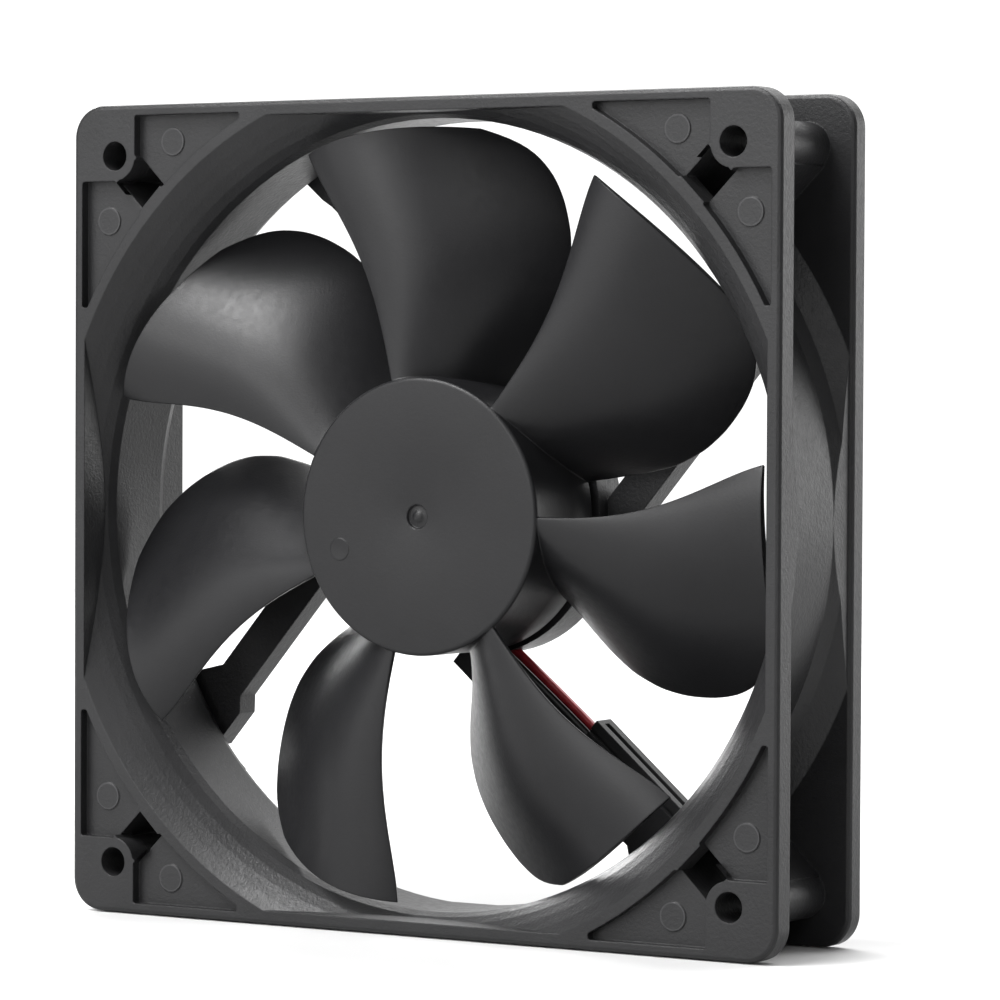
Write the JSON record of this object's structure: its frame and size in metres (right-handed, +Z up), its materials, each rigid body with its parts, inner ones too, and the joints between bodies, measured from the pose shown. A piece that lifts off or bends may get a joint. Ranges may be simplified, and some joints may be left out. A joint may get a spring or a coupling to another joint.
{
  "type": "case fan",
  "caption": "Square axial case fan with swept blades on a closed hub, sleeve bearing motor on offset spokes, corner screw holes and a tied two-wire lead.",
  "frame": {"origin": "centre of the fan's lower edge: X and Y at the middle of the frame, Z at the underside of the frame", "axes": "-Y out of the intake side, +Y the way the air leaves, +Z up, +X to the right seen from the intake side"},
  "size_m": [0.12, 0.0516, 0.12],
  "materials": {
    "frame_plastic": "matt moulded, fine grain",
    "sintered_bronze": "sintered, oiled",
    "black_washer": "matt",
    "thrust_plastic": "smooth",
    "cap_rubber": "matt",
    "laminations": "stamped steel sheets",
    "insulator_plastic": "satin",
    "copper_wire": "enamelled wire",
    "board_green": "solder mask",
    "chip_black": "moulded",
    "capacitor_body": "ceramic",
    "solder": "bright solder",
    "label_blank": "blank foil label",
    "impeller_plastic": "matt moulded",
    "yoke_steel": "drawn, zinc plated",
    "magnet": "bonded ferrite",
    "bush_brass": "turned",
    "shaft_steel": "ground",
    "clip_plastic": "smooth",
    "red_insulation": "soft PVC",
    "black_insulation": "soft PVC",
    "coil_wires": "soft PVC, red and black wires",
    "tie_black": "nylon",
    "connector_plastic": "nylon",
    "contact_brass": "tinned brass"
  },
  "bodies": {
    "housing": {"frame": "frame_plastic", "sleeve_bearing": "sintered_bronze", "oil_washer": "black_washer", "thrust_pad": "thrust_plastic", "bearing_cap": "cap_rubber", "stator_core": "laminations", "insulator_front": "insulator_plastic", "insulator_rear": "insulator_plastic", "stator_windings": "copper_wire", "circuit_board": "board_green", "hall_sensor": "chip_black", "driver_chip": "chip_black", "capacitor": "capacitor_body", "small_chips": "chip_black", "solder_joints": "solder", "rear_label": "label_blank", "red_wire": "red_insulation", "black_wire": "black_insulation", "lead_coil": "coil_wires", "lead_tie": "tie_black", "red_tail": "red_insulation", "black_tail": "black_insulation", "connector_housing": "connector_plastic", "connector_pins": "contact_brass"},
    "rotor": {"impeller": "impeller_plastic", "rotor_yoke": "yoke_steel", "magnet_ring": "magnet", "shaft_bush": "bush_brass", "rotor_shaft": "shaft_steel", "retaining_clip": "clip_plastic"}
  },
  "joints": [
    {"name": "rotor_spin", "type": "hinge", "parent": "housing", "child": "rotor", "pos_m": [0, 0, 0.06], "axis": [0, -1, 0], "continuous": true}
  ]
}
